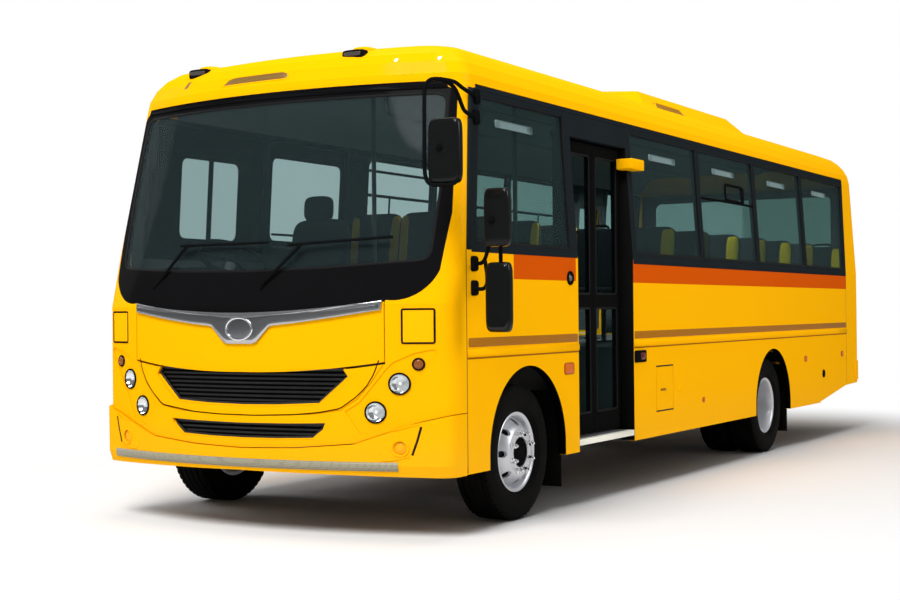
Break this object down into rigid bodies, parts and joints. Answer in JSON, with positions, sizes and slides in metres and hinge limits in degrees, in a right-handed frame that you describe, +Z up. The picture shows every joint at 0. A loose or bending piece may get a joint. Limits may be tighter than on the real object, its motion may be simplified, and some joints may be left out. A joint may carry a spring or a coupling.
{
  "type": "school bus",
  "caption": "School bus with hollow saloon, folding kerb-side door, emergency door, front service flap, steered front wheels and twin rear wheels.",
  "frame": {"origin": "on the ground under the middle of the vehicle's box", "axes": "+Z up, nose towards -Y, +X the kerb side with the passenger door"},
  "size_m": [2.945, 8.6119, 2.9479],
  "materials": {
    "body_yellow": "gloss",
    "band_black": "satin",
    "glass": "polished",
    "frame_black": "satin",
    "cast_grey": "as cast",
    "spring_steel": "oiled",
    "engine_grey": "painted",
    "floor_grey": "ribbed vinyl",
    "grille_black": "satin",
    "lamp_lens": "clear",
    "bright_trim": "satin chrome",
    "mirror_black": "grained",
    "alloy": "polished",
    "tyre_rubber": "new",
    "seat_fabric": "woven",
    "trim_grey": "grained",
    "step_aluminium": "ribbed",
    "mudflap_rubber": "matt"
  },
  "bodies": {
    "root": {"chassis_frame": "frame_black", "front_axle": "frame_black", "rear_axle": "frame_black", "leaf_springs": "spring_steel", "engine": "engine_grey", "propeller_shaft": "frame_black", "fuel_tank": "frame_black", "roof_markers": "lamp_lens", "marker_fairings": "body_yellow", "door_step": "step_aluminium", "floor": "floor_grey", "roof": "body_yellow", "roof_pod": "body_yellow", "nose_panel": "body_yellow", "front_bumper": "body_yellow", "windscreen_surround": "band_black", "windscreen": "glass", "grilles": "grille_black", "lamps": "lamp_lens", "mirror_arms": "frame_black", "mirror_heads": "mirror_black", "wipers": "mirror_black", "door_frame": "band_black", "rear_wall": "body_yellow", "rear_glass": "glass", "rear_bumper": "body_yellow", "seats": "seat_fabric", "seat_frames": "frame_black", "driver_seat": "seat_fabric", "dashboard": "trim_grey", "engine_cover": "trim_grey", "steering_column": "trim_grey", "mudflaps": "mudflap_rubber", "tool_locker": "frame_black", "side_glass": "glass", "side_wall_left": "body_yellow", "side_wall_right": "body_yellow", "window_frame_left": "band_black", "window_frame_right": "band_black"},
    "front_flap": {"front_flap": "body_yellow", "trim_bar": "bright_trim"},
    "door_front": {"door_leaf_front": "band_black", "door_glass_front": "glass"},
    "door_rear": {"door_leaf_rear": "band_black", "door_glass_rear": "glass"},
    "emergency_door": {"emergency_door": "body_yellow", "emergency_glass": "glass"},
    "tool_lid": {"tool_lid": "body_yellow"},
    "steering_wheel": {"steering_wheel": "mirror_black"},
    "knuckle_left": {"knuckle_left": "cast_grey"},
    "knuckle_right": {"knuckle_right": "cast_grey"},
    "wheel_front_left": {"wheel_front_left": "alloy", "tyre_front_left": "tyre_rubber"},
    "wheel_front_right": {"wheel_front_right": "alloy", "tyre_front_right": "tyre_rubber"},
    "wheel_rear_left": {"wheel_rear_left": "alloy", "tyres_rear_left": "tyre_rubber"},
    "wheel_rear_right": {"wheel_rear_right": "alloy", "tyres_rear_right": "tyre_rubber"}
  },
  "joints": [
    {"name": "steer_left", "type": "hinge", "parent": "root", "child": "knuckle_left", "pos_m": [0.88, -3.145, 0.398], "axis": [0, 0, 1], "range_deg": [-35, 35]},
    {"name": "steer_right", "type": "hinge", "parent": "root", "child": "knuckle_right", "pos_m": [-0.88, -3.145, 0.398], "axis": [0, 0, 1], "range_deg": [-35, 35]},
    {"name": "steering_wheel_turn", "type": "hinge", "parent": "root", "child": "steering_wheel", "pos_m": [-0.69, -3.48, 1.56], "axis": [0, 0.5, 0.866], "range_deg": [-640, 640]},
    {"name": "roll_front_left", "type": "hinge", "parent": "knuckle_left", "child": "wheel_front_left", "pos_m": [1.04, -3.145, 0.398], "axis": [1, 0, 0], "continuous": true},
    {"name": "roll_front_right", "type": "hinge", "parent": "knuckle_right", "child": "wheel_front_right", "pos_m": [-1.04, -3.145, 0.398], "axis": [1, 0, 0], "continuous": true},
    {"name": "roll_rear_left", "type": "hinge", "parent": "root", "child": "wheel_rear_left", "pos_m": [0.9125, 1.465, 0.398], "axis": [1, 0, 0], "continuous": true},
    {"name": "roll_rear_right", "type": "hinge", "parent": "root", "child": "wheel_rear_right", "pos_m": [-0.9125, 1.465, 0.398], "axis": [1, 0, 0], "continuous": true},
    {"name": "door_swing", "type": "hinge", "parent": "root", "child": "door_front", "pos_m": [1.12, -2.435, 1.37], "axis": [0, 0, -1], "range_deg": [0, 85]},
    {"name": "door_fold", "type": "hinge", "parent": "door_front", "child": "door_rear", "pos_m": [1.085, -2.01, 1.37], "axis": [0, 0, -1], "range_deg": [-170, 0]},
    {"name": "emergency_door_swing", "type": "hinge", "parent": "root", "child": "emergency_door", "pos_m": [-1.2225, 2.542, 1.6], "axis": [0, 0, 1], "range_deg": [0, 90]},
    {"name": "tool_lid_swing", "type": "hinge", "parent": "root", "child": "tool_lid", "pos_m": [1.222, -1.02, 0.826], "axis": [0, -1, 0], "range_deg": [0, 95]},
    {"name": "front_flap_swing", "type": "hinge", "parent": "root", "child": "front_flap", "pos_m": [0, -4.294, 1.284], "axis": [-1, 0, 0], "range_deg": [0, 70]}
  ],
  "couplings": [
    {"joint": "steer_right", "follows": "steer_left", "ratio": 1},
    {"joint": "steering_wheel_turn", "follows": "steer_left", "ratio": 18},
    {"joint": "door_fold", "follows": "door_swing", "ratio": -2}
  ]
}
